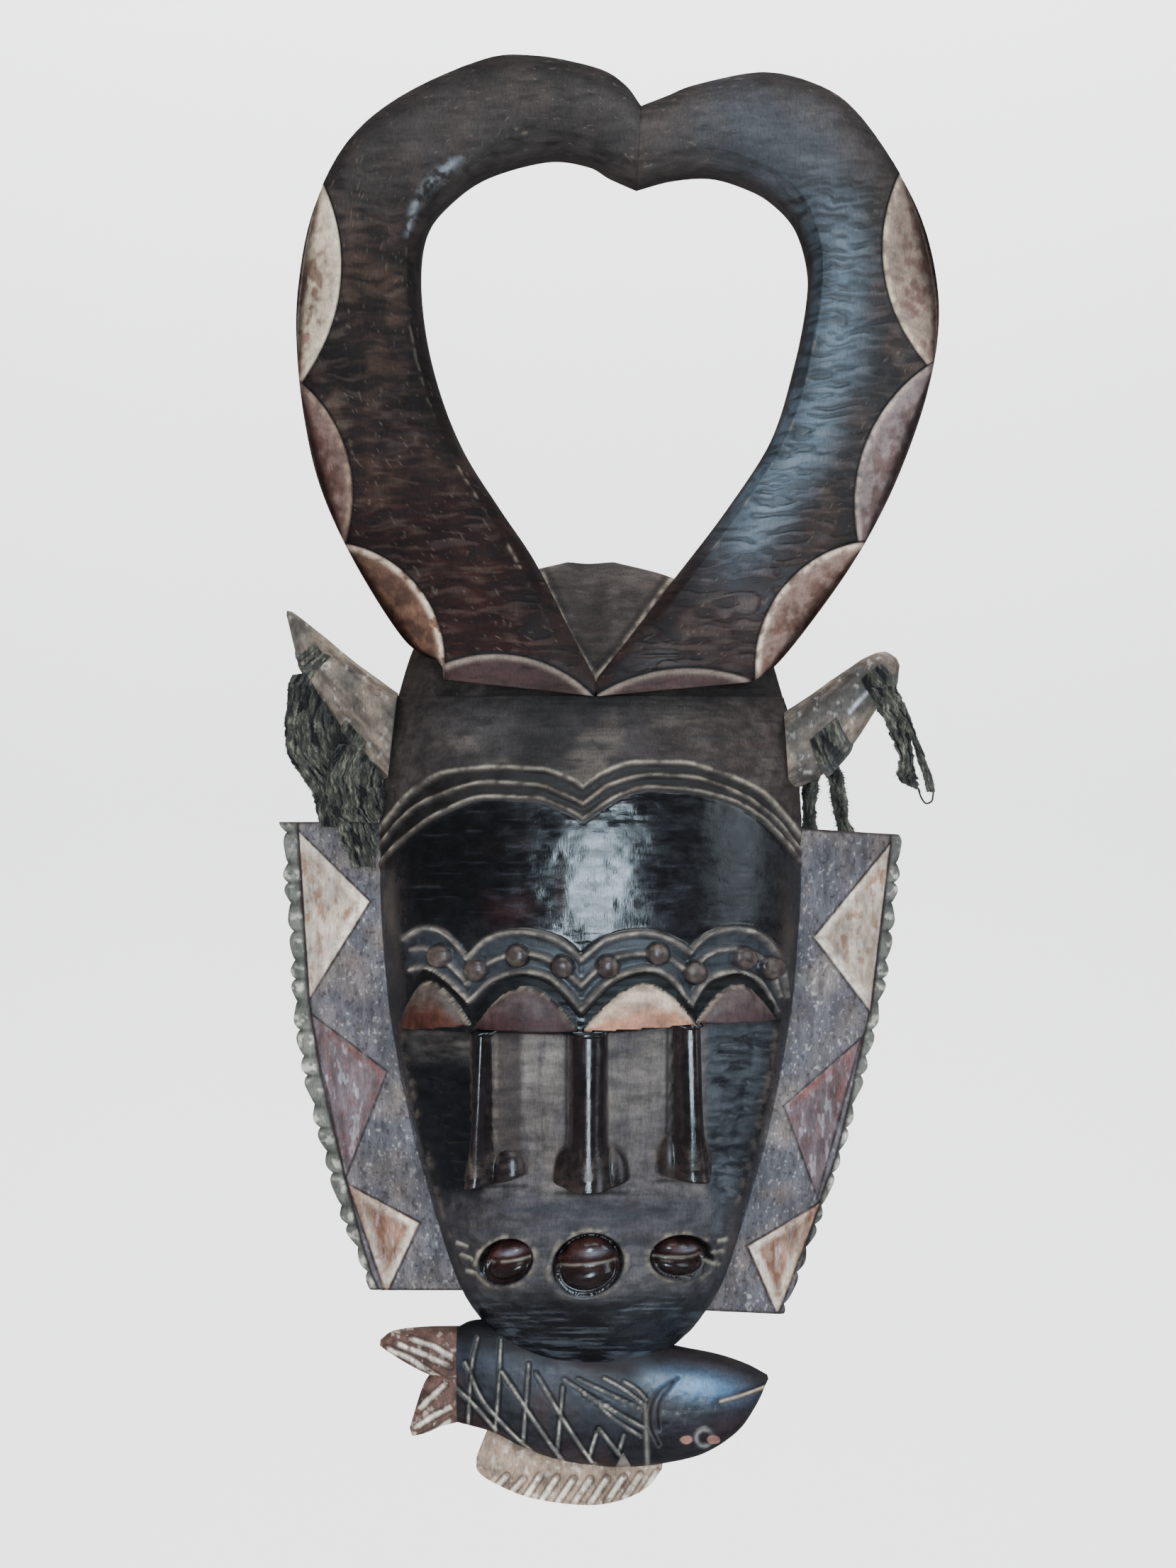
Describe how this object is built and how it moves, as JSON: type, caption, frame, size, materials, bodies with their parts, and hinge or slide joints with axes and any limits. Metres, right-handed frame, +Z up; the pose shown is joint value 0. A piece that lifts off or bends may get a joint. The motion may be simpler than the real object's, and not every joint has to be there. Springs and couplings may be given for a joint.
{
  "type": "carved wooden mask",
  "caption": "Hollow carved wooden mask with conjoined faces, a heart of meeting horns above, scalloped side wings, tied ear horns and a fish below the chin.",
  "frame": {"origin": "on the flat back of the forehead, on the mask's centre line, level with the dip in the hairline", "axes": "+Z up, +X to the viewer's right, the carved front faces -Y and the flat back lies on y = 0"},
  "size_m": [0.2705, 0.0769, 0.6004],
  "materials": {
    "face_wood": "dark stained hardwood, rubbed glossy on the high places and matte in the hollows",
    "horn_wood": "dark stained hardwood with fine tool ripples, satin, cream and red-brown paint in the scoops",
    "wing_wood": "dusty matte stained wood, cream and red-brown paint in the cut triangles",
    "ear_wood": "matte weathered wood",
    "fish_wood": "dark stained hardwood, rubbed glossy, with cut hatching",
    "fin_wood": "pale tan matte paint worn to the wood, with cut hatching",
    "tie_cloth": "coarse dark cloth strips, frayed and dusty"
  },
  "bodies": {
    "carving": {"face_shell": "face_wood", "crown": "face_wood", "horn_left": "horn_wood", "horn_right": "horn_wood", "wing_left": "wing_wood", "wing_right": "wing_wood", "ear_left": "ear_wood", "ear_right": "ear_wood", "fish_body": "fish_wood", "fish_tail": "fin_wood", "fish_fin": "fin_wood", "tie_left_tip_wrap": "tie_cloth", "tie_left_root_wrap": "tie_cloth", "tie_left_knot": "tie_cloth", "tie_left_strip": "tie_cloth", "tie_right_tip_wrap": "tie_cloth", "tie_right_root_wrap": "tie_cloth"},
    "left_tail": {"tie_left_tail": "tie_cloth"},
    "right_tip_tail": {"tie_right_tip_tail": "tie_cloth"},
    "right_root_tails": {"tie_right_root_tail_inner": "tie_cloth", "tie_right_root_tail_outer": "tie_cloth"}
  },
  "joints": [
    {"name": "left_tail_swing", "type": "hinge", "parent": "carving", "child": "left_tail", "pos_m": [-0.098, -0.035, -0.0095], "axis": [0, 1, 0], "range_deg": [-5, 28]},
    {"name": "right_tip_tail_swing", "type": "hinge", "parent": "carving", "child": "right_tip_tail", "pos_m": [0.1225, -0.0425, 0.031], "axis": [0, 1, 0], "range_deg": [-35, 38]},
    {"name": "right_root_tails_swing", "type": "hinge", "parent": "carving", "child": "right_root_tails", "pos_m": [0.097, -0.012, 0.0075], "axis": [0, 1, 0], "range_deg": [-15, 0]}
  ]
}
